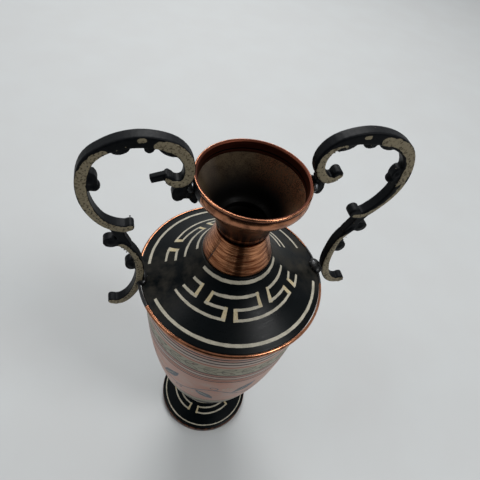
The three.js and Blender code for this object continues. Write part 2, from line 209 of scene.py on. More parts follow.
def copper_rolled(colours, name, spans, outside, creases=()):
    """Rolled copper with tarnish in its creases, and black paint run over its outside where the castings touch."""
    material, tree, shader = new_finish(name)
    streak, apart, radius, place = round_axis(tree, 5.0, 0.35, 4.0)
    cloud = add(tree, "ShaderNodeTexNoise", {"Vector": place, "Scale": PER_MM / 4, "Detail": 5.0})
    worn = add(tree, "ShaderNodeMix", {0: streak, 6: opaque(colours.copper),
               7: opaque(linear("#8F5B46"))}, data_type="RGBA")
    brown = add(tree, "ShaderNodeMapRange", {"Value": cloud.outputs["Fac"], "From Min": 0.5, "From Max": 0.68,
                "To Max": 0.65}).outputs[0]
    for middle, half in creases:
        crease = add(tree, "ShaderNodeMath", {0: apart.outputs["Z"], 1: middle * MM, 2: half * MM},
                     operation="COMPARE")
        brown = add(tree, "ShaderNodeMath", {0: brown, 1: crease.outputs[0]}, operation="MAXIMUM").outputs[0]
    tarnished = add(tree, "ShaderNodeMix", {0: brown, 6: worn.outputs[2], 7: opaque(linear("#3E2219"))},
                    data_type="RGBA")
    beyond = add(tree, "ShaderNodeMath", {0: radius, 1: outside * MM}, operation="GREATER_THAN")
    near = add(tree, "ShaderNodeMath", {0: sectors(tree, place, spans, 2.0), 1: beyond.outputs[0]},
               operation="MULTIPLY")
    ragged = add(tree, "ShaderNodeMath", {0: cloud.outputs["Fac"], 1: 1.2, 2: -0.6}, operation="MULTIPLY_ADD")
    paint = add(tree, "ShaderNodeMath", {0: near.outputs[0], 1: ragged.outputs[0]}, operation="ADD")
    mask = add(tree, "ShaderNodeMapRange", {"Value": paint.outputs[0], "From Min": 0.5, "From Max": 0.6},
               interpolation_type="SMOOTHSTEP").outputs[0]
    tone = add(tree, "ShaderNodeMix", {0: mask, 6: tarnished.outputs[2], 7: opaque(linear("#0D0D0F"))},
               data_type="RGBA")
    rough = add(tree, "ShaderNodeMapRange", {"Value": streak, "To Min": 0.12, "To Max": 0.3})
    rough = add(tree, "ShaderNodeMix", {0: mask, 2: rough.outputs[0], 3: 0.5})
    metal = add(tree, "ShaderNodeMath", {0: 1.0, 1: mask}, operation="SUBTRACT")
    bump = add(tree, "ShaderNodeBump", {"Height": streak, "Strength": 0.2, "Distance": 0.02 * MM})
    feed(tree, shader, Base_Color=tone.outputs[2], Roughness=rough.outputs[0], Metallic=metal.outputs[0],
         Normal=bump.outputs[0])
    return material


def copper_browned(colours, name):
    """Copper gone dark brown, with paler streaks up and down where a hand has rubbed it."""
    material, tree, shader = new_finish(name, Metallic=1.0)
    streak, _, _, place = round_axis(tree, 16.0, 14.0, 4.0)
    cloud = add(tree, "ShaderNodeTexNoise", {"Vector": place, "Scale": PER_MM / 2.5, "Detail": 4.0})
    share = add(tree, "ShaderNodeMapRange", {"Value": streak, "From Min": 0.44, "From Max": 0.66})
    light = add(tree, "ShaderNodeMix", {0: share.outputs[0], 6: opaque(linear("#2E140B")),
                7: opaque(linear("#7C4B30"))}, data_type="RGBA")
    spots = add(tree, "ShaderNodeMapRange", {"Value": cloud.outputs["Fac"], "From Min": 0.56, "From Max": 0.75,
                "To Max": 0.4})
    tone = add(tree, "ShaderNodeMix", {0: spots.outputs[0], 6: light.outputs[2], 7: opaque(colours.brown)},
               data_type="RGBA")
    rough = add(tree, "ShaderNodeMapRange", {"Value": cloud.outputs["Fac"], "To Min": 0.24, "To Max": 0.45})
    feed(tree, shader, Base_Color=tone.outputs[2], Roughness=rough.outputs[0])
    return material


def copper_reddened():
    """Inner wall of the rim: copper gone dark red, with rings of the spinning."""
    material, tree, shader = new_finish("copper_reddened", Metallic=0.9)
    ring, apart, _, _ = round_axis(tree, 1.5, 0.7, 3.0)
    tone = add(tree, "ShaderNodeMix", {0: ring, 6: opaque(linear("#35170D")),
               7: opaque(linear("#6B3826"))}, data_type="RGBA")
    fold = add(tree, "ShaderNodeMath", {0: apart.outputs["Z"], 1: RIM_FOLD * MM, 2: 0.3 * MM},
               operation="COMPARE")
    tone = add(tree, "ShaderNodeMix", {0: fold.outputs[0], 6: tone.outputs[2], 7: opaque(linear("#180805"))},
               data_type="RGBA")
    rough = add(tree, "ShaderNodeMapRange", {"Value": ring, "To Min": 0.3, "To Max": 0.5})
    feed(tree, shader, Base_Color=tone.outputs[2], Roughness=rough.outputs[0])
    return material


def copper_dusty_shaded(colours, name):
    """Inside of the mouth: olive-brown dust on dark copper, rubbed coppery on the right, and painted shade that
    darkens it to near black lower down.
    """
    material, tree, shader = new_finish(name, Specular_IOR_Level=0.06)
    ring, apart, _, place = round_axis(tree, 1.2, 0.9, 2.0)
    speck = add(tree, "ShaderNodeTexNoise", {"Vector": place, "Scale": PER_MM / 0.45, "Detail": 5.0})
    cloud = add(tree, "ShaderNodeTexNoise", {"Vector": place, "Scale": PER_MM / 7, "Detail": 3.0})
    film = add(tree, "ShaderNodeMath", {0: speck.outputs["Fac"], 1: cloud.outputs["Fac"]}, operation="ADD")
    share = add(tree, "ShaderNodeMapRange", {"Value": film.outputs[0], "From Min": 0.8, "From Max": 1.2})
    dusty = add(tree, "ShaderNodeMix", {0: share.outputs[0], 6: opaque(linear("#2B2016")),
                7: opaque(colours.dust)}, data_type="RGBA")
    grey = add(tree, "ShaderNodeMath", {0: sectors(tree, place, [(140.0, 8.0)], 12.0), 1: 0.25},
               operation="MULTIPLY")
    dusty = add(tree, "ShaderNodeMix", {0: grey.outputs[0], 6: dusty.outputs[2], 7: opaque(linear("#6A625C"))},
                data_type="RGBA")
    side = sectors(tree, place, [(10.0, 42.0)], 30.0)
    patchy = add(tree, "ShaderNodeMapRange", {"Value": speck.outputs["Fac"], "From Min": 0.42, "From Max": 0.62})
    rubbed = add(tree, "ShaderNodeMath", {0: side, 1: patchy.outputs[0]}, operation="MULTIPLY")
    tone = add(tree, "ShaderNodeMix", {0: rubbed.outputs[0], 6: dusty.outputs[2], 7: opaque(linear("#7A4C34"))},
               data_type="RGBA")
    # Painted shade: the inside darkens to near black below the mouth, deep in the bore where light falls off
    painted_shade = add(tree, "ShaderNodeMapRange", {"Value": apart.outputs["Z"], "From Min": 198 * MM,
               "From Max": 211 * MM, "To Min": 1.0, "To Max": 0.0}, interpolation_type="SMOOTHSTEP")
    tone = add(tree, "ShaderNodeMix", {0: painted_shade.outputs[0], 6: tone.outputs[2], 7: opaque(linear("#060504"))},
               data_type="RGBA")
    metal = add(tree, "ShaderNodeMath", {0: rubbed.outputs[0], 1: 0.8}, operation="MULTIPLY")
    rough = add(tree, "ShaderNodeMapRange", {"Value": share.outputs[0], "To Min": 0.42, "To Max": 0.66})
    bump = add(tree, "ShaderNodeBump", {"Height": ring, "Strength": 0.3, "Distance": 0.04 * MM})
    feed(tree, shader, Base_Color=tone.outputs[2], Metallic=metal.outputs[0], Roughness=rough.outputs[0],
         Normal=bump.outputs[0])
    return material


def lacquer_black(colours, name, spans):
    """Black lacquer on spun copper: satin, with fine turning marks and dusty patches by the handles."""
    material, tree, shader = new_finish(name, Specular_IOR_Level=0.09)
    ring, _, _, place = round_axis(tree, 3.0, 0.28, 3.0)
    smudge = add(tree, "ShaderNodeTexNoise", {"Vector": place, "Scale": PER_MM / 8, "Detail": 5.0,
                 "Roughness": 0.62})
    fine = add(tree, "ShaderNodeTexNoise", {"Vector": place, "Scale": PER_MM / 0.6, "Detail": 3.0})
    cloud = add(tree, "ShaderNodeMapRange", {"Value": smudge.outputs["Fac"], "From Min": 0.4, "From Max": 0.66})
    near = sectors(tree, place, spans, 12.0) if spans else 0.0
    rubbed = add(tree, "ShaderNodeMath", {0: near, 1: cloud.outputs[0]}, operation="MULTIPLY")
    haze = add(tree, "ShaderNodeMapRange", {"Value": smudge.outputs["Fac"], "From Min": 0.5, "From Max": 0.75,
               "To Max": 0.12})
    tone = add(tree, "ShaderNodeMix", {0: haze.outputs[0], 6: opaque(colours.lacquer),
               7: opaque(linear("#1B2125"))}, data_type="RGBA")
    tone = add(tree, "ShaderNodeMix", {0: rubbed.outputs[0], 6: tone.outputs[2], 7: opaque(linear("#282621"))},
               data_type="RGBA")
    marks = add(tree, "ShaderNodeMath", {0: ring, 1: fine.outputs["Fac"]}, operation="ADD")
    gloss = add(tree, "ShaderNodeMapRange", {"Value": marks.outputs[0], "From Min": 0.6, "From Max": 1.4,
                "To Min": 0.24, "To Max": 0.42})
    dull = add(tree, "ShaderNodeMath", {0: rubbed.outputs[0], 1: 0.22, 2: gloss.outputs[0]},
               operation="MULTIPLY_ADD")
    bump = add(tree, "ShaderNodeBump", {"Height": marks.outputs[0], "Strength": 0.2, "Distance": 0.02 * MM})
    feed(tree, shader, Base_Color=tone.outputs[2], Roughness=dull.outputs[0], Normal=bump.outputs[0])
    return material


def enamel(name, colour, dark, speck):
    """Enamel line drawn by brush: matt, with a grain of pigment."""
    material, tree, shader = new_finish(name)
    place = add(tree, "ShaderNodeTexCoord").outputs["Object"]
    grain = add(tree, "ShaderNodeTexNoise", {"Vector": place, "Scale": PER_MM / speck, "Detail": 4.0})
    patch = add(tree, "ShaderNodeTexNoise", {"Vector": place, "Scale": PER_MM / 4, "Detail": 2.0})
    both = add(tree, "ShaderNodeMath", {0: grain.outputs["Fac"], 1: patch.outputs["Fac"]}, operation="ADD")
    share = add(tree, "ShaderNodeMapRange", {"Value": both.outputs[0], "From Min": 0.8, "From Max": 1.35})
    tone = add(tree, "ShaderNodeMix", {0: share.outputs[0], 6: opaque(colour), 7: opaque(dark)},
               data_type="RGBA")
    rough = add(tree, "ShaderNodeMapRange", {"Value": grain.outputs["Fac"], "To Min": 0.42, "To Max": 0.62})
    feed(tree, shader, Base_Color=tone.outputs[2], Roughness=rough.outputs[0])
    return material


# Painted bands of the belly: height and width in mm, the heights from points read off the photograph
DARK_LINES = [(143.8, 0.95), (141.5, 1.0), (138.7, 0.95), (125.8, 0.95), (123.5, 0.85), (120.4, 0.9),
              (116.3, 0.95), (74.6, 0.7), (66.3, 0.7)]
COPPER_LINES = [(145.6, 1.2), (135.9, 0.8), (124.7, 0.6), (118.3, 1.5), (75.9, 0.7)]
CREAM_BANDS = [(140.1, 1.7), (137.3, 1.5), (122, 1.5)]
OLIVE_BANDS = [(130.4, 8.4), (70.4, 7.2)]
LACQUERED_BELOW = 65.6
LEAF_PAIRS, RAYS = 28, 18
# Running vine: middle height, swing and stem width in mm, and its number of waves
VINE_MIDDLE, VINE_SWING, VINE_STEM, VINE_WAVES = 95.5, 5.5, 0.9, 6
# Its leaves: span in degrees, reach in mm and points; its tendrils: reach, loss by point and points
LEAF_SPAN, LEAF_REACH, LEAF_POINTS = 16, 13, 6
TENDRIL_REACH, TENDRIL_LOSS, TENDRIL_POINTS = 2.8, 0.15, 13
# How much further out a rib lies than its leaf, as a share
RIB_RISE = 0.06 / 40


def belly_lacquer(colours):
    """Copper under thin hazy lacquer, with painted lines and bands, black lacquer at its foot."""
    material, tree, shader = new_finish("belly_lacquer", Specular_IOR_Level=0.3, Coat_Weight=0.12,
                                        Coat_Roughness=0.22)
    ring, apart, _, place = round_axis(tree, 2.6, 0.8, 3.0)
    cloud = add(tree, "ShaderNodeTexNoise", {"Vector": place, "Scale": PER_MM / 11, "Detail": 5.0})
    grain = add(tree, "ShaderNodeTexNoise", {"Vector": place, "Scale": PER_MM / 0.5, "Detail": 4.0})
    hand = add(tree, "ShaderNodeMath", {0: cloud.outputs["Fac"], 1: 0.5 * MM, 2: -0.25 * MM},
               operation="MULTIPLY_ADD")
    height = add(tree, "ShaderNodeMath", {0: apart.outputs["Z"], 1: hand.outputs[0]}, operation="ADD").outputs[0]
    haze = add(tree, "ShaderNodeMapRange", {"Value": cloud.outputs["Fac"], "From Min": 0.35, "From Max": 0.7})
    tone = add(tree, "ShaderNodeMix", {0: haze.outputs[0], 6: opaque(colours.pink),
               7: opaque(linear("#BA9C90"))}, data_type="RGBA").outputs[2]
    for lines, colour in ((OLIVE_BANDS, "#9C9884"), (CREAM_BANDS, "#B3A69A"), (COPPER_LINES, "#96573F"),
                          (DARK_LINES, "#160F11")):
        for middle, width in lines:
            band = add(tree, "ShaderNodeMath", {0: height, 1: middle * MM, 2: width * MM / 2},
                       operation="COMPARE")
            tone = add(tree, "ShaderNodeMix", {0: band.outputs[0], 6: tone, 7: opaque(linear(colour))},
                       data_type="RGBA").outputs[2]
    low = add(tree, "ShaderNodeMath", {0: height, 1: LACQUERED_BELOW * MM}, operation="LESS_THAN").outputs[0]
    tone = add(tree, "ShaderNodeMix", {0: low, 6: tone, 7: opaque(colours.lacquer)}, data_type="RGBA").outputs[2]
    speck = add(tree, "ShaderNodeMapRange", {"Value": grain.outputs["Fac"], "From Min": 0.62, "From Max": 0.72,
                "To Max": 0.35})
    tone = add(tree, "ShaderNodeMix", {0: speck.outputs[0], 6: tone, 7: opaque(linear("#8C6A5E"))},
               data_type="RGBA").outputs[2]
    rough = add(tree, "ShaderNodeMapRange", {"Value": ring, "To Min": 0.34, "To Max": 0.56})
    copper = add(tree, "ShaderNodeMath", {0: 1.0, 1: low}, operation="SUBTRACT")
    metal = add(tree, "ShaderNodeMath", {0: copper.outputs[0], 1: 0.25}, operation="MULTIPLY")
    bump = add(tree, "ShaderNodeBump", {"Height": ring, "Strength": 0.15, "Distance": 0.03 * MM})
    feed(tree, shader, Base_Color=tone, Roughness=rough.outputs[0], Metallic=metal.outputs[0],
         Normal=bump.outputs[0])
    return material


def cast_paint(colours):
    """Castings painted black, their faces filed bare to a tan metal that the attribute 'bare' marks."""
    material, tree, shader = new_finish("cast_paint", Specular_IOR_Level=0.08)
    place = add(tree, "ShaderNodeTexCoord").outputs["Object"]
    skin = add(tree, "ShaderNodeTexNoise", {"Vector": place, "Scale": PER_MM / 0.9, "Detail": 5.0})
    patch = add(tree, "ShaderNodeTexNoise", {"Vector": place, "Scale": PER_MM / 1.6, "Detail": 5.0})
    bare = add(tree, "ShaderNodeAttribute", attribute_name="bare").outputs["Fac"]
    ragged = add(tree, "ShaderNodeMath", {0: patch.outputs["Fac"], 1: 2.0, 2: -1.0}, operation="MULTIPLY_ADD")
    mask = add(tree, "ShaderNodeMath", {0: bare, 1: ragged.outputs[0]}, operation="ADD")
    mask = add(tree, "ShaderNodeMapRange", {"Value": mask.outputs[0], "From Min": 0.42, "From Max": 0.55},
               interpolation_type="SMOOTHSTEP").outputs[0]
    black = add(tree, "ShaderNodeMix", {0: skin.outputs["Fac"], 6: opaque(linear("#030304")),
                7: opaque(linear("#101317"))}, data_type="RGBA")
    pitted = add(tree, "ShaderNodeMapRange", {"Value": skin.outputs["Fac"], "From Min": 0.5, "From Max": 0.66})
    filed = add(tree, "ShaderNodeMix", {0: pitted.outputs[0], 6: opaque(colours.tan),
                7: opaque(linear("#4F4638"))}, data_type="RGBA")
    tone = add(tree, "ShaderNodeMix", {0: mask, 6: black.outputs[2], 7: filed.outputs[2]}, data_type="RGBA")
    metal = add(tree, "ShaderNodeMath", {0: mask, 1: 0.25}, operation="MULTIPLY")
    rough = add(tree, "ShaderNodeMapRange", {"Value": skin.outputs["Fac"], "To Min": 0.34, "To Max": 0.6})
    bump = add(tree, "ShaderNodeBump", {"Height": skin.outputs["Fac"], "Strength": 0.6, "Distance": 0.1 * MM})
    feed(tree, shader, Base_Color=tone.outputs[2], Metallic=metal.outputs[0], Roughness=rough.outputs[0],
         Normal=bump.outputs[0])
    return material


def solder_painted(name, bare_share):
    """Soft solder: lumpy grey metal, with black paint brushed over most of it."""
    material, tree, shader = new_finish(name, Specular_IOR_Level=0.2)
    place = add(tree, "ShaderNodeTexCoord").outputs["Object"]
    lumps = add(tree, "ShaderNodeTexNoise", {"Vector": place, "Scale": PER_MM / 1.4, "Detail": 4.0})
    mask = add(tree, "ShaderNodeMapRange", {"Value": lumps.outputs["Fac"], "From Min": 0.62 - bare_share,
               "From Max": 0.68 - bare_share}, interpolation_type="SMOOTHSTEP").outputs[0]
    tone = add(tree, "ShaderNodeMix", {0: mask, 6: opaque(linear("#0B0C0D")), 7: opaque(linear("#9A9CA0"))},
               data_type="RGBA")
    rough = add(tree, "ShaderNodeMapRange", {"Value": lumps.outputs["Fac"], "To Min": 0.25, "To Max": 0.5})
    bump = add(tree, "ShaderNodeBump", {"Height": lumps.outputs["Fac"], "Strength": 0.5, "Distance": 0.12 * MM})
    feed(tree, shader, Base_Color=tone.outputs[2], Metallic=mask, Roughness=rough.outputs[0],
         Normal=bump.outputs[0])
    return material


def floor_paper(colours):
    """Matt white board under the vase, with the faint clouding of a used surface."""
    material, tree, shader = new_finish("floor_paper", Roughness=0.75)
    place = add(tree, "ShaderNodeTexCoord").outputs["Object"]
    cloud = add(tree, "ShaderNodeTexNoise", {"Vector": place, "Scale": PER_MM / 60, "Detail": 5.0})
    share = add(tree, "ShaderNodeMapRange", {"Value": cloud.outputs["Fac"], "From Min": 0.4, "From Max": 0.75,
                "To Max": 0.25})
    tone = add(tree, "ShaderNodeMix", {0: share.outputs[0], 6: opaque(colours.floor),
               7: opaque(linear("#C4CACB"))}, data_type="RGBA")
    feed(tree, shader, Base_Color=tone.outputs[2])
    return material


# Shapes

def settle(name, bm, *materials, smooth=True):
    """Make a mesh into an object at the origin, with its materials, smooth but for sharp edges."""
    for face in bm.faces:
        face.smooth = smooth
    for edge in bm.edges:
        edge.smooth = not edge.is_manifold or edge.calc_face_angle(0) < SHARP_TURN
    mesh = bpy.data.meshes.new(name)
    bm.to_mesh(mesh)
    bm.free()
    piece = bpy.data.objects.new(name, mesh)
    bpy.context.scene.collection.objects.link(piece)
    for material in materials:
        mesh.materials.append(material)
    return piece


def fit(piece, slot, *nodes):
    """Ride the piece on the vase in place of the nodes it stands for; the slot is not used."""
    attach(piece, "root")
    if nodes:
        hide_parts(*nodes)
    return piece


def half_outline(node):
    """The node's outline on the +X side: its points (radius, height) in order, and whether it closes."""
    bm = bmesh.new()
    bm.from_mesh(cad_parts[node].data)
    bmesh.ops.remove_doubles(bm, verts=bm.verts, dist=0.001 * MM)
    flat = {v for v in bm.verts if abs(v.co.y) < 0.001 * MM and v.co.x > -0.001 * MM}
    ways = {v: [e.other_vert(v) for e in v.link_edges if e.other_vert(v) in flat] for v in flat}
    ends = [v for v, near in ways.items() if len(near) == 1]
    line = [min(ends, key=lambda v: v.co.z) if ends else min(flat, key=lambda v: (v.co.z, v.co.x))]
    while True:
        onward = [v for v in ways[line[-1]] if v not in line]
        if not onward:
            break
        line.append(onward[0])
    if len(line) != len(flat):
        raise RuntimeError(f"{node}: its outline breaks after {len(line)} of {len(flat)} points")
    points = [Vector((max(v.co.x, 0.0), v.co.z)) for v in line]
    bm.free()
    return points, not ends


def curve_between(before, a, b, after, steps):
    """Points from a, short of b, on a smooth curve whose ends lean on the points before and after."""
    start = (b - before) * ((b - a).length / max((b - a).length + (a - before).length, 1e-9))
    end = (after - a) * ((b - a).length / max((b - a).length + (after - b).length, 1e-9))
    found = []
    for i in range(steps):
        t = i / steps
        found.append(a * (2 * t**3 - 3 * t**2 + 1) + start * (t**3 - 2 * t**2 + t)
                     + b * (3 * t**2 - 2 * t**3) + end * (t**3 - t**2))
    return found


def softened(outline, closed, step, fillet):
    """The outline with its smooth runs resampled along curves and its corners rounded."""
    count = len(outline)

    def point(i):
        if closed:
            return outline[i % count]
        if i < 0:
            return Vector((-outline[1].x, outline[1].y))
        if i >= count:
            return Vector((-outline[-2].x, outline[-2].y))
        return outline[i]

    def corner(i):
        if not closed and i in (0, count - 1):
            return False
        return (point(i) - point(i - 1)).angle(point(i + 1) - point(i)) > SHARP_TURN

    line = []
    for i in range(count if closed else count - 1):
        a, b = point(i), point(i + 1)
        cut = min(fillet, 0.3 * (b - a).length)
        along = (b - a).normalized() * cut
        if corner(i):
            lead = (a - point(i - 1)).normalized() * min(fillet, 0.3 * (a - point(i - 1)).length)
            line += [a - lead, a - lead / 4 + along / 4, a + along]
        before = a * 2 - b if corner(i) else point(i - 1)
        after = b * 2 - a if corner(i + 1) else point(i + 2)
        steps = max(1, round((b - a).length / step))
        run = curve_between(before, a, b, after, steps)
        keep = [p for p in run[1:] if (p - a).length > cut and (p - b).length > cut]
        line += keep if corner(i) else [a, *keep]
    if not closed:
        line.append(outline[-1])
    return line


def spun(name, outline, closed, turns, *materials):
    """Spin an outline about the axis into a closed shell."""
    bm = bmesh.new()
    verts = [bm.verts.new((p.x, 0.0, p.y)) for p in outline]
    edges = [bm.edges.new(pair) for pair in zip(verts, verts[1:])]
    if closed:
        edges.append(bm.edges.new((verts[-1], verts[0])))
    bmesh.ops.spin(bm, geom=verts + edges, cent=(0, 0, 0), axis=(0, 0, 1), angle=math.tau, steps=turns,
                   use_merge=True)
    bmesh.ops.remove_doubles(bm, verts=bm.verts, dist=0.0005 * MM)
    bmesh.ops.recalc_face_normals(bm, faces=bm.faces)
    return settle(name, bm, *materials)


def shell(node, name, slot, step, *materials, dress=None):
    """A spun piece that follows a node's own outline, with a finer surface where dress gives one."""
    sizes = bpy.context.scene.vase_sizes
    outline, closed = half_outline(node)
    line = softened(outline, closed, step, sizes.fillet)
    if dress:
        line = [dress(p) for p in line]
    piece = spun(name, line, closed, sizes.turns, *materials)
    return fit(piece, slot, node), line


def outward(face):
    """How far a face looks away from the axis: 1 is straight out, and -1 straight in."""
    middle = Vector((face.center.x, face.center.y, 0.0))
    return face.normal.dot(middle) / max(middle.length, 1e-9)


def recoat(piece, test):
    """Give the faces that pass a test the piece's second material."""
    for face in piece.data.polygons:
        if test(face):
            face.material_index = 1


def drawn_on(name, bm, slot, *materials, second=None):
    """Finish drawn enamel; the faces from the second one's number on take the second material."""
    if second is not None:
        bm.faces.ensure_lookup_table()
        for face in bm.faces[second:]:
            face.material_index = 1
    bmesh.ops.recalc_face_normals(bm, faces=bm.faces)
    return fit(settle(name, bm, *materials, smooth=False), slot)


def skin_over(line, upright):
    """Height of a shell's outside at a radius, or its radius at a height where upright."""
    points = np.array([[p.y, p.x] if upright else [p.x, p.y] for p in line])
    places = np.linspace(points[:, 0].min(), points[:, 0].max(), 900)
    tops = np.full(len(places), -1.0)
    for a, b in zip(points, np.roll(points, -1, axis=0)):
        low, high = sorted((a, b), key=lambda p: p[0])
        inside = (places >= low[0]) & (places <= high[0])
        if high[0] - low[0] > 1e-9:
            share = (places[inside] - low[0]) / (high[0] - low[0])
            tops[inside] = np.maximum(tops[inside], low[1] + share * (high[1] - low[1]))
    return lambda place: float(np.interp(place, places, tops))


def on_skin(skin, upright, angle, place, lift):
    """A point on a shell at an angle in degrees and a place in metres, lifted off it."""
    other = skin(place)
    radius, height = (other + lift, place) if upright else (place, other + lift)
    turn = math.radians(angle)
    return Vector((radius * math.cos(turn), radius * math.sin(turn), height))


def stroke(bm, skin, upright, path, widths, wobble=0.0):
    """A brush stroke: a thin closed strip along a path of (angle in degrees, place in mm) on a shell."""
    enamel_height = bpy.context.scene.vase_sizes.enamel
    middle = path[len(path) // 2][1] * MM
    scale = math.radians(1) * (skin(middle) if upright else middle)
    length = sum(math.hypot((b[0] - a[0]) * scale, (b[1] - a[1]) * MM) for a, b in zip(path, path[1:]))
    steps = max(2, round(length / (0.7 * MM)))
    rows = max(2, math.ceil(max(widths) / 1.5))
    grid = bmesh.ops.create_grid(bm, x_segments=steps, y_segments=rows, size=0.5)["verts"]
    faces = list({face for vert in grid for face in vert.link_faces})
    risen = bmesh.ops.extrude_face_region(bm, geom=faces, use_keep_orig=True)["geom"]
    top = [v for v in risen if isinstance(v, bmesh.types.BMVert)]
    bmesh.ops.translate(bm, verts=top, vec=(0, 0, 1))
    marks = np.linspace(0, 1, len(path))
    angles, places = [p[0] for p in path], [p[1] * MM for p in path]
    brush = np.linspace(0, 1, len(widths))
    for vert in grid + top:
        u, side, up = vert.co.x + 0.5, vert.co.y * 2, vert.co.z
        ahead, behind = min(u + 0.01, 1.0), max(u - 0.01, 0.0)
        run = (np.interp(ahead, marks, angles) - np.interp(behind, marks, angles)) * scale
        rise = np.interp(ahead, marks, places) - np.interp(behind, marks, places)
        size = max(math.hypot(run, rise), 1e-9)
        half = np.interp(u, brush, widths) * MM / 2
        angle, place = np.interp(u, marks, angles), np.interp(u, marks, places)
        if wobble:
            shake = noise.noise(Vector((math.radians(angle) * 9, place * PER_MM / 5, 0.0))) * wobble * MM
            place += shake * run / size
            half += noise.noise(Vector((math.radians(angle) * 17, place * PER_MM / 3, 4.0))) * wobble * MM
        angle -= side * half * (rise / size) / scale
        place += side * half * (run / size)
        vert.co = on_skin(skin, upright, angle, place, (up - 0.6) * enamel_height)
    return grid + top


def arc(start, end, place, last=None):
    """A path from one angle to another, at one place or drifting to a last one."""
    count = max(2, round(abs(end - start) / 3))
    drift = 0.0 if last is None else last - place
    return [(start + (end - start) * i / count, place + drift * i / count) for i in range(count + 1)]


# Pieces

# Widths of the key pattern: an arc's and a ring's in mm, and a bar's in degrees
ARC_WIDTH, RING_WIDTH, BAR_DEGREES = 1.1, 1.4, 3.9
# Rings round the key pattern: start and end in degrees, radius at each in mm, and width. These, the arcs, the
# bars and the flux come from points read off the photograph and turned into degrees and mm
SHOULDER_LINES = [(198.6, 344.7, 39.9, 40.4, RING_WIDTH), (374.6, 530.2, 37.6, 39.6, RING_WIDTH),
                  (203.4, 342.4, 17.9, 17.3, ARC_WIDTH), (376.0, 529.6, 17.2, 18.1, ARC_WIDTH)]
# Arcs of the key pattern: start and end in degrees, and radius at each in mm
KEY_ARCS = [(201.2, 251.4, 31.1, 30.8), (258.8, 320.9, 30.7, 29.8), (328.7, 342.7, 30.5, 30.5),
            (202.7, 220.8, 27.5, 26.9), (229.7, 252.0, 26.8, 26.6), (258.0, 286.4, 26.8, 26.4),
            (294.8, 321.0, 26.4, 26.3), (329.8, 341.0, 26.6, 26.2),
            (203.9, 219.8, 22.6, 22.4), (231.5, 287.0, 22.7, 21.9), (298.4, 341.4, 21.9, 21.8),
            (374.0, 431.0, 28.2, 29.4), (446.0, 509.4, 28.9, 30.3), (516.1, 531.4, 31.5, 31.9),
            (374.0, 405.6, 25.2, 26.2), (415.0, 437.0, 26.2, 26.2), (443.5, 471.5, 26.0, 25.6),
            (480.8, 509.4, 25.2, 27.0), (519.4, 533.6, 27.3, 27.5),
            (392.0, 405.0, 21.9, 21.9), (417.0, 472.0, 22.0, 22.0), (482.0, 533.0, 21.3, 23.4)]
# Broad bars between two lines: angle and radius at each end
KEY_BARS = [(218.0, 22.3, 219.1, 26.9), (233.0, 22.7, 231.3, 26.8), (285.0, 21.9, 284.9, 26.4),
            (299.9, 21.9, 296.5, 26.4), (250.9, 26.6, 249.9, 30.8), (259.8, 26.8, 260.6, 30.7),
            (319.6, 26.3, 319.6, 29.8), (331.4, 26.6, 330.2, 30.5),
            (403.6, 21.9, 403.7, 26.1), (418.9, 22.0, 416.8, 26.2), (470.2, 22.0, 470.2, 25.6),
            (484.0, 21.4, 482.4, 25.2), (435.4, 26.2, 430.0, 29.4), (445.1, 26.0, 446.9, 28.9),
            (507.7, 27.0, 507.6, 30.3), (521.2, 27.3, 517.9, 31.5)]
# Where the castings' paint has run: middle and half width in degrees
HANDLE_SIDES = [(2.0, 22.0), (186.0, 22.0)]
BEAD_PAINT = [(0.0, 15.0), (182.5, 17.5)]
RIM_PAINT = [(16.0, 15.0), (188.0, 13.0)]
# The rim: height of its fold, radius beyond which paint has run, and drop and half width of its crease, in mm
RIM_FOLD, RIM_OUTSIDE, CREASE_DROP, CREASE_HALF = 212.4, 22.85, 1.55, 0.45
# A dark reflection painted down the collar: middle and half width in degrees
COLLAR_PAINTED_REFLECTION = [(257.0, 5.0)]
# A dark run of flux down the collar: angle in degrees and height in mm
FLUX_RUN = [(209.0, 185.6), (206.6, 182.0), (204.5, 178.7), (202.6, 174.4), (202.0, 172.4)]
# Radii of the foot's lines, and the width of its worn edge, in mm
FOOT_RING, FOOT_OUT, FOOT_IN, FOOT_LAST, FOOT_EDGE = 28.2, 21.4, 18.2, 15.4, 0.55
# Closed frames of the foot's key pattern: start and end in degrees
FOOT_FRAMES = [(243.0, 309.6), (321.0, 384.5), (396.0, 460.0), (472.0, 525.0), (537.0, 590.4)]


def draw_keys(name, skin, arcs, bars, cream, warm):
    """Cream arcs and broad warm bars of a key pattern, as thin enamel on a shell."""
    bm = bmesh.new()
    for start, end, place, last, width in arcs:
        stroke(bm, skin, False, arc(start, end, place, last), [0.9 * width, width, width, 0.9 * width], 0.09)
    lines = len(bm.faces)
    for angle_in, place_in, angle_out, place_out in bars:
        widths = [math.radians(BAR_DEGREES) * place_in, math.radians(BAR_DEGREES) * place_out]
        stroke(bm, skin, False, [(angle_in, place_in - ARC_WIDTH / 2), (angle_out, place_out + ARC_WIDTH / 2)],
               widths, 0.07)
    return drawn_on(name, bm, "black_lacquer", cream, warm, second=lines)


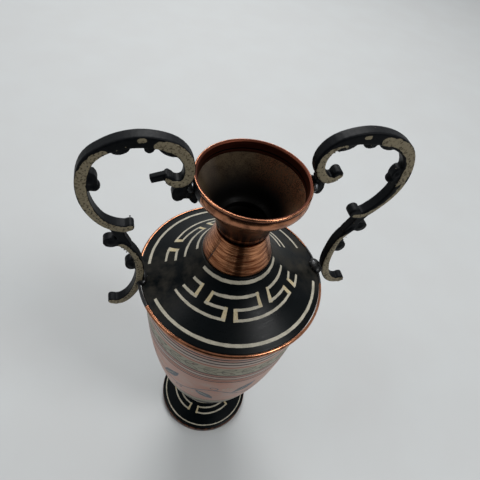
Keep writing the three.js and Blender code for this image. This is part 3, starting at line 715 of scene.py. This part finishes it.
class VASE_OT_foot(bpy.types.Operator):
    """Spin the lacquered trumpet foot and draw its key pattern"""
    bl_idname = "vase.foot"
    bl_label = "Foot"

    def execute(self, context):
        colours = context.scene.vase_colours
        piece, line = shell("foot_shell", "foot", "black_lacquer", 0.7 * MM,
                            lacquer_black(colours, "foot_lacquer", []), copper_browned(colours, "copper_foot_edge"))
        worn_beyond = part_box("foot_shell")[1].x - FOOT_EDGE * MM
        recoat(piece, lambda face: face.center.xy.length > worn_beyond)
        skin = skin_over(line, False)
        arcs = [(0, 360, FOOT_RING, FOOT_RING, 0.6), (150, 420, FOOT_LAST, FOOT_LAST, 0.8)]
        bars = []
        for start, end in FOOT_FRAMES:
            arcs += [(start, end, FOOT_OUT, FOOT_OUT, 0.85), (start, end, FOOT_IN, FOOT_IN, 0.8)]
            bars += [(start + 2, FOOT_IN, start + 2, FOOT_OUT), (end - 2, FOOT_IN, end - 2, FOOT_OUT)]
        draw_keys("foot_key", skin, arcs, bars, enamel("cream_line_foot", colours.cream, linear("#8C8672"), 0.5),
                  enamel("warm_bar_foot", colours.warm, linear("#8F7F58"), 0.6))
        shell("foot_solder", "foot_seam", "solder", 0.5 * MM, solder_painted("solder_foot", 0.0))
        return {"FINISHED"}


class VASE_OT_body(bpy.types.Operator):
    """Spin the belly and paint its leaf band, vine and rays"""
    bl_idname = "vase.body"
    bl_label = "Belly"

    def execute(self, context):
        colours = context.scene.vase_colours
        _, line = shell("body_bowl", "belly", "painted_copper", 1.4 * MM, belly_lacquer(colours))
        skin = skin_over(line, True)
        slate = enamel("slate_enamel", colours.slate, linear("#3A4249"), 0.7)
        bone = enamel("bone_enamel", linear("#B6B4A4"), linear("#94917F"), 0.6)
        olive = enamel("olive_enamel", linear("#4E4A3E"), linear("#6C6858"), 0.6)
        red = enamel("red_enamel", linear("#7A342F"), linear("#4A211E"), 0.5)
        self.leaf_band(skin, olive, red)
        self.vine(skin, slate, bone)
        self.rays(skin, bone)
        return {"FINISHED"}

    def leaf_band(self, skin, olive, red):
        """A garland of leaves in outline along the olive band, and a few berries"""
        bm = bmesh.new()
        middle, pairs = OLIVE_BANDS[0][0], LEAF_PAIRS
        for i in range(pairs):
            start = i * 360 / pairs + 1.5 * noise.noise(Vector((i, 1.3, 0.0)))
            for tip in (1, -1):
                path = [(start, middle), (start + 1.5, middle + 2.0 * tip), (start + 5.5, middle + 3.4 * tip),
                        (start + 10.0, middle + 2.9 * tip), (start + 6.5, middle + 1.0 * tip), (start, middle)]
                stroke(bm, skin, True, path, [0.4, 0.5, 0.35, 0.5, 0.4], 0.15)
            stroke(bm, skin, True, [(start - 3.5, middle - 0.4), (start + 2, middle + 0.2)], [0.45, 0.5], 0.1)
        leaves = len(bm.faces)
        for i in range(0, pairs, 2):
            place = middle + (1.8 if i % 4 else -1.6)
            angle = (i + 0.42) * 360 / pairs + 1.3 * noise.noise(Vector((i, 0.3, 0.0)))
            stroke(bm, skin, True, [(angle, place), (angle + 2.2, place)], [0.4, 1.3, 1.2, 0.4], 0.1)
        drawn_on("leaf_band", bm, "painted_copper", olive, red, second=leaves)

    def vine(self, skin, slate, bone):
        """A running vine: one waving stem, and in each bend a leaf, a tendril and three berries"""
        bm = bmesh.new()
        bend, ribs, berries = 180 / VINE_WAVES, [], []
        stem = [(angle, VINE_MIDDLE + VINE_SWING * math.sin(math.radians(VINE_WAVES * angle)))
                for angle in range(0, 361, 3)]
        stroke(bm, skin, True, stem, [VINE_STEM, VINE_STEM], 0.15)
        for i in range(2 * VINE_WAVES):
            start, side = i * bend, 1 if i % 2 else -1
            leaf = []
            for k in range(LEAF_POINTS + 1):
                along = k / LEAF_POINTS
                leaf.append((start + 1 + LEAF_SPAN * along,
                             VINE_MIDDLE + side * (0.5 + LEAF_REACH * along ** 1.3)))
            stroke(bm, skin, True, leaf, [0.4, 4.2, 6.4, 4.6, 0.3], 0.2)
            ribs.append(leaf[1:5])
            curl = VINE_MIDDLE - side * (VINE_SWING + 3.2)
            tendril = []
            for k in range(TENDRIL_POINTS):
                turn, reach = math.radians(30 * k), TENDRIL_REACH - TENDRIL_LOSS * k
                tendril.append((start + bend / 2 + 1.6 * reach * math.sin(turn), curl + side * reach * math.cos(turn)))
            stroke(bm, skin, True, tendril, [0.7, 0.6, 0.4], 0.1)
            berries += [(start + 22 + 3 * k, VINE_MIDDLE - side * (VINE_SWING + 2.5 + 1.6 * (k % 2)))
                        for k in range(3)]
        dark = len(bm.faces)
        for rib in ribs:
            for vert in stroke(bm, skin, True, rib, [0.3, 0.8, 0.6, 0.3], 0.1):
                vert.co *= 1 + RIB_RISE
        for angle, place in berries:
            stroke(bm, skin, True, [(angle, place), (angle + 2.2, place)], [0.4, 1.7, 1.7, 0.4], 0.1)
        drawn_on("vine", bm, "painted_copper", slate, bone, second=dark)

    def rays(self, skin, bone):
        """Slender rays that rise from the foot over the black lacquer"""
        bm = bmesh.new()
        for i in range(RAYS):
            angle = i * 360 / RAYS
            for side in (-1, 1):
                path = [(angle + side * 7.2, 36.0), (angle + side * 3.4, 49.0), (angle + side * 0.4, 62.5)]
                stroke(bm, skin, True, path, [0.7, 0.7, 0.5], 0.1)
        stroke(bm, skin, True, arc(0, 360, 34.4), [0.8, 0.8], 0.1)
        drawn_on("rays", bm, "painted_copper", bone)


class VASE_OT_shoulder(bpy.types.Operator):
    """Spin the lacquered shoulder and the bead over its seam, and draw the key pattern"""
    bl_idname = "vase.shoulder"
    bl_label = "Shoulder"

    def execute(self, context):
        colours = context.scene.vase_colours
        _, line = shell("shoulder_dome", "shoulder", "black_lacquer", 0.8 * MM,
                        lacquer_black(colours, "shoulder_lacquer", HANDLE_SIDES))
        arcs = SHOULDER_LINES + [(*key, ARC_WIDTH) for key in KEY_ARCS]
        draw_keys("shoulder_key", skin_over(line, False), arcs, KEY_BARS,
                  enamel("cream_line", colours.cream, linear("#8C8878"), 0.5),
                  enamel("warm_bar", colours.warm, linear("#A08F66"), 0.6))
        shell("seam_bead", "seam_ring", "bright_copper", 0.25 * MM,
              copper_rolled(colours, "copper_bead", BEAD_PAINT, 0.0))
        return {"FINISHED"}


class VASE_OT_neck(bpy.types.Operator):
    """Spin the grooved collar and the neck tube"""
    bl_idname = "vase.neck"
    bl_label = "Collar and neck"

    def execute(self, context):
        colours = context.scene.vase_colours
        sizes = context.scene.vase_sizes
        low, high = (corner.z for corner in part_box("collar_cone"))

        def grooved(p):
            """Tool grooves on the collar's outside, fading out at its ends"""
            share = (p.y - low) / (high - low)
            fade = max(0.0, min(1.0, 12 * share, 12 * (1 - share)))
            uneven = 0.7 + 0.6 * noise.noise(Vector((p.y * PER_MM / 2.3, 0.0, 0.0)))
            wave = 0.5 - 0.5 * math.cos(math.tau * (p.y - low) / sizes.groove_pitch)
            return Vector((p.x - sizes.groove_depth * fade * uneven * wave, p.y))

        _, line = shell("collar_cone", "collar", "bright_copper", 0.12 * MM, copper_turned(colours),
                        dress=grooved)
        bm = bmesh.new()
        stroke(bm, skin_over(line, True), True, FLUX_RUN, [0.2, 0.4, 0.45, 0.5, 0.25], 0.1)
        drawn_on("flux_run", bm, "dark_copper", enamel("flux_burnt", linear("#241009"), linear("#3A1D12"), 0.4))
        # The neck's inside takes the dusty finish, whose painted shade makes the bore near black
        piece, _ = shell("neck_sleeve", "neck", "dark_copper", 0.5 * MM,
                         copper_browned(colours, "copper_neck"), copper_dusty_shaded(colours, "dusty_shaded_neck"))
        recoat(piece, lambda face: outward(face) < 0)
        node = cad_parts["neck_solder"]
        node.data.materials.clear()
        node.data.materials.append(solder_painted("solder_neck", 0.2))
        return {"FINISHED"}


class VASE_OT_mouth(bpy.types.Operator):
    """Spin the mouth bowl and the banded rim"""
    bl_idname = "vase.mouth"
    bl_label = "Mouth"

    def execute(self, context):
        colours = context.scene.vase_colours
        # The mouth's inside takes the dusty finish, with painted shade darkening it lower down
        piece, _ = shell("mouth_cup", "mouth", "dark_copper", 0.5 * MM,
                         copper_browned(colours, "copper_mouth"), copper_dusty_shaded(colours, "dusty_shaded_mouth"))
        recoat(piece, lambda face: outward(face) < 0 or face.normal.z > 0.4)
        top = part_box("rim_ring")[1].z * PER_MM
        piece, _ = shell("rim_ring", "rim", "bright_copper", 0.3 * MM,
                         copper_rolled(colours, "copper_rim", RIM_PAINT, RIM_OUTSIDE,
                                       [(top - CREASE_DROP, CREASE_HALF)]),
                         copper_reddened())
        recoat(piece, lambda face: outward(face) < -0.2)
        return {"FINISHED"}


# Crowns of the leaves: middle x and z, half length, half width in mm, and tilt in degrees. Most were worked out
# from the leaves of the part's source, and the rest given one by one
LEFT_LEAVES = [(-32.4, 228.9, 4.0, 1.8, -26), (-38.9, 230.2, 1.8, 1.9, -6), (-48.2, 230.1, 3.4, 2.3, 18),
               (-60.2, 219.6, 2.6, 1.3, 78), (-59.0, 216.6, 3.2, 2.1, 80), (-57.7, 213.4, 2.4, 2.3, 60),
               (-47.3, 167.9, 3.4, 2.5, -83), (-54.5, 183.4, 3.1, 2.8, -23),
               (-28.0, 209.9, 2.9, 4.4, -19), (-24.6, 209.4, 2.6, 3.8, 10), (-32.6, 217.4, 1.3, 1.3, 0),
               (-46.5, 192.5, 1.7, 1.7, 0), (-57.3, 140.6, 1.7, 1.7, 0)]
RIGHT_LEAVES = [(30.9, 232.0, 4.3, 1.9, 19), (40.6, 232.5, 2.7, 1.4, -2), (47.9, 232.4, 3.9, 2.0, -18),
                (60.2, 220.6, 2.4, 1.3, -80), (59.2, 217.8, 3.0, 2.1, -82), (58.0, 214.8, 2.2, 2.2, -62),
                (50.1, 172.4, 3.4, 2.8, 87), (55.5, 186.3, 3.1, 2.8, 23),
                (26.0, 213.0, 2.6, 4.6, 13), (32.4, 218.5, 2.2, 2.2, 0), (48.7, 196.1, 2.7, 2.7, 0),
                (59.9, 144.6, 2.4, 2.4, 0)]
# Stretches of the faces filed bare: x and z in mm along each, and its half width
LEFT_BARE = [([(-35.4, 231.6), (-31.1, 231.0), (-27.7, 228.6), (-25.5, 225.0), (-24.9, 220.7), (-25.8, 216.8),
               (-28.2, 214.6), (-31.1, 214.4), (-33.2, 215.8)], 2.1),
             ([(-53.5, 228.3), (-55.7, 227.0), (-58.4, 224.4), (-60.9, 220.6), (-62.1, 216.5), (-62.1, 211.8),
               (-61.2, 206.0), (-59.0, 200.0), (-55.8, 195.2), (-51.5, 192.3), (-47.7, 192.4), (-46.2, 194.4)], 1.85),
             ([(-50.4, 181.0), (-47.2, 175.5), (-44.6, 169.5), (-44.2, 162.0), (-45.8, 153.4), (-48.8, 146.0),
               (-52.5, 140.6), (-57.5, 140.0)], 2.2),
             ([(-40.6, 233.9), (-41.8, 234.0)], 0.8)]
RIGHT_BARE = [([(30.0, 231.2), (26.2, 229.6), (24.4, 226.6), (23.9, 222.8), (25.0, 219.2), (27.5, 216.6),
                (30.9, 215.4), (33.6, 217.0)], 2.0),
              ([(46.1, 234.6), (50.4, 234.2), (55.5, 232.0), (59.6, 228.2), (62.0, 224.0), (62.6, 219.9),
                (61.9, 215.6), (60.2, 213.4)], 1.9),
              ([(63.9, 213.5), (63.0, 207.4), (60.6, 202.2), (57.0, 197.8), (52.6, 194.6), (48.6, 194.9)], 0.9),
              ([(50.2, 180.4), (46.9, 175.5), (45.9, 169.0), (46.6, 161.8), (49.2, 153.4), (53.4, 146.9),
                (58.0, 143.9), (61.8, 144.1)], 2.2),
              ([(37.0, 236.3), (38.2, 236.5)], 0.8)]
# Distance in mm from a casting's middle plane beyond which a face counts as its face
FACE_DEPTH = 2.25
# A crown's half height over the middle in mm, and its length and width as shares of the leaf's
CROWN_HIGH, CROWN_LONG, CROWN_WIDE = 2.45, 0.9, 0.88
PUNCH_PITCH, PUNCH_RADIUS, PUNCH_DEPTH = 1.75, 0.3, 0.12


def lump(bm, middle, size, tilt):
    """A ball stretched to a size, turned about Y, at a place."""
    place = Matrix.Translation(middle) @ Matrix.Rotation(-math.radians(tilt), 4, "Y")
    bmesh.ops.create_uvsphere(bm, u_segments=20, v_segments=12, radius=1.0,
                              matrix=place @ Matrix.Diagonal((*size, 1.0)))


def fused(name, bm, voxel, rounds):
    """Fuse overlapping closed forms into one smooth skin, as a casting is."""
    rough = settle(name + "_rough", bm)
    remesh = rough.modifiers.new("fuse", "REMESH")
    remesh.mode = "VOXEL"
    remesh.voxel_size = voxel
    whole = rough.evaluated_get(bpy.context.evaluated_depsgraph_get())
    bm = bmesh.new()
    bm.from_mesh(whole.to_mesh())
    whole.to_mesh_clear()
    bpy.data.objects.remove(rough)
    for _ in range(rounds):
        bmesh.ops.smooth_vert(bm, verts=bm.verts, factor=0.5, use_axis_x=True, use_axis_y=True, use_axis_z=True)
    return bm


def copied(node):
    """A merged copy of a node's mesh."""
    bm = bmesh.new()
    bm.from_mesh(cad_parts[node].data)
    bmesh.ops.remove_doubles(bm, verts=bm.verts, dist=0.001 * MM)
    return bm


def distance_to(path, points):
    """Distance of each point to a path, all in the casting's plane."""
    nearest = np.full(len(points), np.inf)
    for a, b in zip(path, path[1:]):
        a, b = np.array(a) * MM, np.array(b) * MM
        along = np.clip(((points - a) @ (b - a)) / ((b - a) @ (b - a)), 0, 1)
        nearest = np.minimum(nearest, np.linalg.norm(points - (a + along[:, None] * (b - a)), axis=1))
    return nearest


def mark_bare(mesh, stretches, plane):
    """Write the attribute 'bare': 1 on the two faces along the filed stretches, falling to 0 round them."""
    points = np.array([v.co for v in mesh.vertices])
    depth = np.abs(points[:, 1] - plane) / MM
    face = np.clip((depth - FACE_DEPTH) / 0.2, 0, 1)
    share = np.zeros(len(points))
    for path, half in stretches:
        away = distance_to(path, points[:, [0, 2]]) / MM
        share = np.maximum(share, np.clip((half + 0.35 - away) / 0.7, 0, 1))
    attribute = mesh.attributes.new("bare", "FLOAT", "POINT")
    attribute.data.foreach_set("value", (share * face).astype(np.float32))


def punch_marks(name, stretches, plane, half_thick, material):
    """A row of small punch marks, still black with paint, down the middle of the filed faces."""
    bm = bmesh.new()
    for path, half in stretches:
        if half < 1:
            continue
        walked = 0.0
        for a, b in zip(path, path[1:]):
            length = math.dist(a, b)
            while walked < length:
                x, z = (a[i] + (b[i] - a[i]) * walked / length for i in (0, 1))
                size = PUNCH_RADIUS * (1 + 0.4 * noise.noise(Vector((x, z, 1.0)))) * MM
                for side in (-1, 1):
                    middle = Matrix.Translation((x * MM, plane + side * (half_thick - PUNCH_DEPTH * MM / 2), z * MM))
                    bmesh.ops.create_cone(bm, cap_ends=True, segments=8, radius1=size, radius2=size,
                                          depth=PUNCH_DEPTH * MM,
                                          matrix=middle @ Matrix.Rotation(math.pi / 2, 4, "X"))
                walked += PUNCH_PITCH
            walked -= length
    return fit(settle(name, bm, material), "cast_black")


class VASE_OT_castings(bpy.types.Operator):
    """Make the two scroll castings, with crowned leaves, filed faces and punch marks"""
    bl_idname = "vase.castings"
    bl_label = "Scroll castings"

    def execute(self, context):
        colours = context.scene.vase_colours
        voxel = context.scene.vase_sizes.voxel
        paint = cast_paint(colours)
        punched = enamel("punched_black", linear("#12110F"), linear("#25221D"), 0.4)
        for side, leaves, bare in (("left", LEFT_LEAVES, LEFT_BARE), ("right", RIGHT_LEAVES, RIGHT_BARE)):
            node = "handle_" + side
            low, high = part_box(node)
            plane, half_thick = (low.y + high.y) / 2, (high.y - low.y) / 2
            bm = copied(node)
            for x, z, along, across, tilt in leaves:
                size = (CROWN_LONG * along * MM, CROWN_HIGH * MM, CROWN_WIDE * across * MM)
                lump(bm, (x * MM, plane, z * MM), size, tilt)
            piece = settle("casting_" + side, fused(node, bm, voxel, 4), paint)
            mark_bare(piece.data, bare, plane)
            fit(piece, "cast_black", node)
            punch_marks("punch_marks_" + side, bare, plane, half_thick, punched)
        return {"FINISHED"}


class VASE_OT_solder(bpy.types.Operator):
    """Round off the drops of solder that hold the castings"""
    bl_idname = "vase.solder"
    bl_label = "Solder"

    def execute(self, context):
        voxel = context.scene.vase_sizes.voxel
        for place, bare_share in (("rim", 0.1), ("shoulder", 0.0)):
            material = solder_painted("solder_" + place, bare_share)
            for side in ("left", "right"):
                node = f"{place}_solder_{side}"
                piece = settle(f"{place}_drop_{side}", fused(node, copied(node), 0.8 * voxel, 3), material)
                fit(piece, "solder", node)
        return {"FINISHED"}


# Camera, fitted to the photograph: place in metres, and the directions of its right, up and view
CAMERA_PLACE = (-0.0458, -0.11336, 0.31806)
CAMERA_RIGHT = (0.96696, -0.20248, 0.1547)
CAMERA_UP = (0.05803, 0.76615, 0.6401)
CAMERA_VIEW = (0.24807, 0.60999, -0.7526)
CAMERA_LENS = 31.28
# Soft boxes: place in metres, size in metres, and power in watts; each aims at the mouth
LAMPS = [((0.15, 1.0, 1.2), 0.7, 14.0), ((-0.62, 0.06, 0.95), 0.3, 1.2), ((0.46, -0.4, 0.95), 0.3, 4.0)]
# The studio is darker overhead and in front, where its ceiling and the camera are
SKY_SIDE, SKY_DARK, SKY_BRIGHT = (0.1, 0.9, -0.4), 0.3, 0.72
# Dark card: place, where it faces, and size, in metres
CARD_PLACE, CARD_AIM, CARD_SIZE = (-0.08, -0.4, 0.34), (0.0, 0.0, 0.3), (0.6, 0.7)


class VASE_OT_stage(bpy.types.Operator):
    """Set the floor, the soft light and the camera"""
    bl_idname = "vase.stage"
    bl_label = "Stage"

    def execute(self, context):
        scene = context.scene
        bm = bmesh.new()
        bmesh.ops.create_grid(bm, x_segments=1, y_segments=1, size=2.5)
        floor = settle("floor", bm, floor_paper(scene.vase_colours))
        self.flag()
        aim = Vector((0.0, 0.0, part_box("rim_ring")[1].z))
        for i, (place, size, power) in enumerate(LAMPS):
            lamp = bpy.data.lights.new(f"soft_box_{i}", "AREA")
            lamp.size = size
            lamp.energy = power
            holder = bpy.data.objects.new(lamp.name, lamp)
            holder.location = place
            holder.rotation_euler = (aim - Vector(place)).to_track_quat("-Z", "Y").to_euler()
            scene.collection.objects.link(holder)
        world = bpy.data.worlds.new("studio")
        scene.world = world
        world.use_nodes = True
        tree = world.node_tree
        sky = tree.nodes["Background"]
        sky.inputs["Color"].default_value = opaque(linear("#F0F2F4"))
        way = add(tree, "ShaderNodeTexCoord").outputs["Generated"]
        facing = add(tree, "ShaderNodeVectorMath", {0: way, 1: SKY_SIDE}, operation="DOT_PRODUCT")
        level = add(tree, "ShaderNodeMapRange", {"Value": facing.outputs["Value"], "From Min": -0.7,
                    "From Max": 0.7, "To Min": SKY_DARK, "To Max": SKY_BRIGHT})
        tree.links.new(level.outputs[0], sky.inputs["Strength"])
        scene.view_settings.view_transform = "Standard"
        camera = bpy.data.cameras.new("camera")
        camera.lens = CAMERA_LENS
        camera.sensor_width = 36.0
        camera.clip_start = 0.01
        eye = bpy.data.objects.new("camera", camera)
        turn = Matrix((CAMERA_RIGHT, CAMERA_UP, [-x for x in CAMERA_VIEW])).transposed()
        eye.matrix_world = Matrix.Translation(CAMERA_PLACE) @ turn.to_4x4()
        scene.collection.objects.link(eye)
        scene.camera = eye
        return {"FINISHED"}

    def flag(self):
        """A dark card behind the camera, which the copper mirrors and the camera doesn't see"""
        bm = bmesh.new()
        place = Vector(CARD_PLACE)
        turn = (Vector(CARD_AIM) - place).to_track_quat("Z", "Y").to_matrix().to_4x4()
        bmesh.ops.create_grid(bm, x_segments=1, y_segments=1, size=0.5,
                              matrix=Matrix.Translation(place) @ turn @ Matrix.Diagonal((*CARD_SIZE, 1.0, 1.0)))
        material, _, _ = new_finish("flag_cloth", Base_Color=opaque(linear("#1C1B1B")), Roughness=0.9)
        card = settle("flag", bm, material)
        card.visible_camera = False
        card.visible_shadow = False


class VASE_PT_panel(bpy.types.Panel):
    """Lists the pieces of the vase"""
    bl_label = "Vase"
    bl_idname = "VASE_PT_panel"
    bl_space_type = "VIEW_3D"
    bl_region_type = "UI"
    bl_category = "Vase"

    def draw(self, context):
        for group in (context.scene.vase_sizes, context.scene.vase_colours):
            for key in group.__annotations__:
                self.layout.prop(group, key)
        for operator in OPERATORS:
            self.layout.operator(operator.bl_idname)


OPERATORS = (VASE_OT_stage, VASE_OT_foot, VASE_OT_body, VASE_OT_shoulder, VASE_OT_neck, VASE_OT_mouth,
             VASE_OT_castings, VASE_OT_solder)
CLASSES = (VaseSizes, VaseColours, *OPERATORS, VASE_PT_panel)


def register():
    for cls in CLASSES:
        bpy.utils.register_class(cls)
    bpy.types.Scene.vase_sizes = bpy.props.PointerProperty(type=VaseSizes)
    bpy.types.Scene.vase_colours = bpy.props.PointerProperty(type=VaseColours)


def unregister():
    del bpy.types.Scene.vase_colours
    del bpy.types.Scene.vase_sizes
    for cls in reversed(CLASSES):
        bpy.utils.unregister_class(cls)


def main():
    register()
    bpy.ops.vase.stage()
    bpy.ops.vase.foot()
    bpy.ops.vase.body()
    bpy.ops.vase.shoulder()
    bpy.ops.vase.neck()
    bpy.ops.vase.mouth()
    bpy.ops.vase.castings()
    bpy.ops.vase.solder()


if __name__ == "__main__":
    main()
